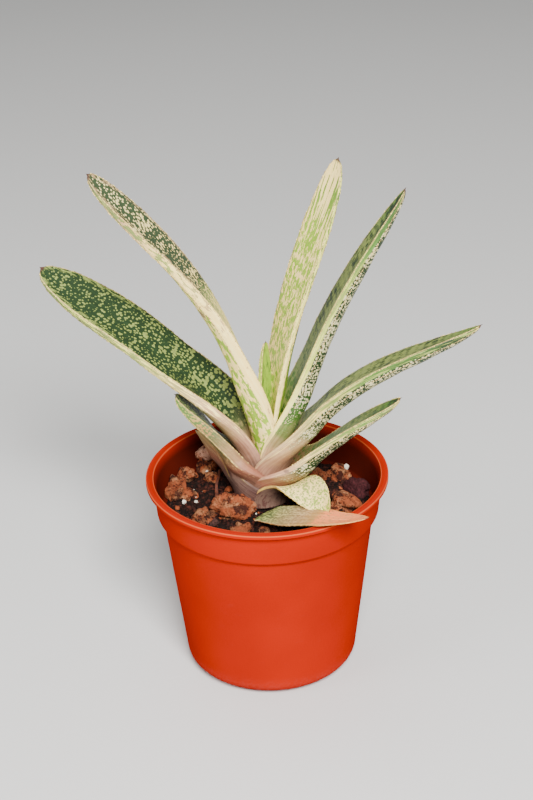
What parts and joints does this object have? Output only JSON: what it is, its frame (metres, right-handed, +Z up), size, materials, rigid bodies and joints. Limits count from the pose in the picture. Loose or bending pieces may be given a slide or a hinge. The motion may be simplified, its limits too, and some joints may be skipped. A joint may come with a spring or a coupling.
{
  "type": "potted gasteria",
  "caption": "Young gasteria with arching spotted keeled leaves in two ranks, in a tapered orange-brown plastic nursery pot of dark soil with lava chunks.",
  "frame": {"origin": "middle of the pot's flat underside", "axes": "+Z up, +X towards the right rank of leaves as seen from the front, -Y to the front"},
  "size_m": [0.141, 0.0827, 0.1776],
  "materials": {
    "pot": "satin moulded plastic",
    "soil": "dark damp potting mix",
    "stem": "pale brown stem",
    "leaf": "firm semi-gloss dark green leaf with cream spots and pale margins",
    "leaf_young": "semi-gloss cream and lime mottled leaf",
    "leaf_dry": "dull withered tan and pink leaf",
    "stone": "rough pitted lava chunk",
    "bark": "rough dark bark chunk"
  },
  "bodies": {
    "root": {"pot": "pot", "soil": "soil", "stem": "stem", "leaf_centre": "leaf_young", "leaf_right_1": "leaf_young", "leaf_left_1": "leaf", "leaf_right_2": "leaf", "leaf_left_2": "leaf", "leaf_right_3": "leaf", "leaf_left_3": "leaf", "leaf_right_4": "leaf", "leaf_left_4": "leaf_dry", "leaf_drooping": "leaf_young", "leaf_withered": "leaf_dry", "stone_left": "stone", "stone_left_back": "stone", "stone_left_small": "stone", "stone_left_round": "stone", "stone_front_large": "stone", "stone_front": "stone", "stone_front_small": "stone", "stone_right_back": "stone", "stone_right_inner": "stone", "stone_right": "stone", "stone_back": "stone", "stone_back_left": "stone", "stone_back_right": "stone", "bark_right": "bark"}
  },
  "joints": []
}
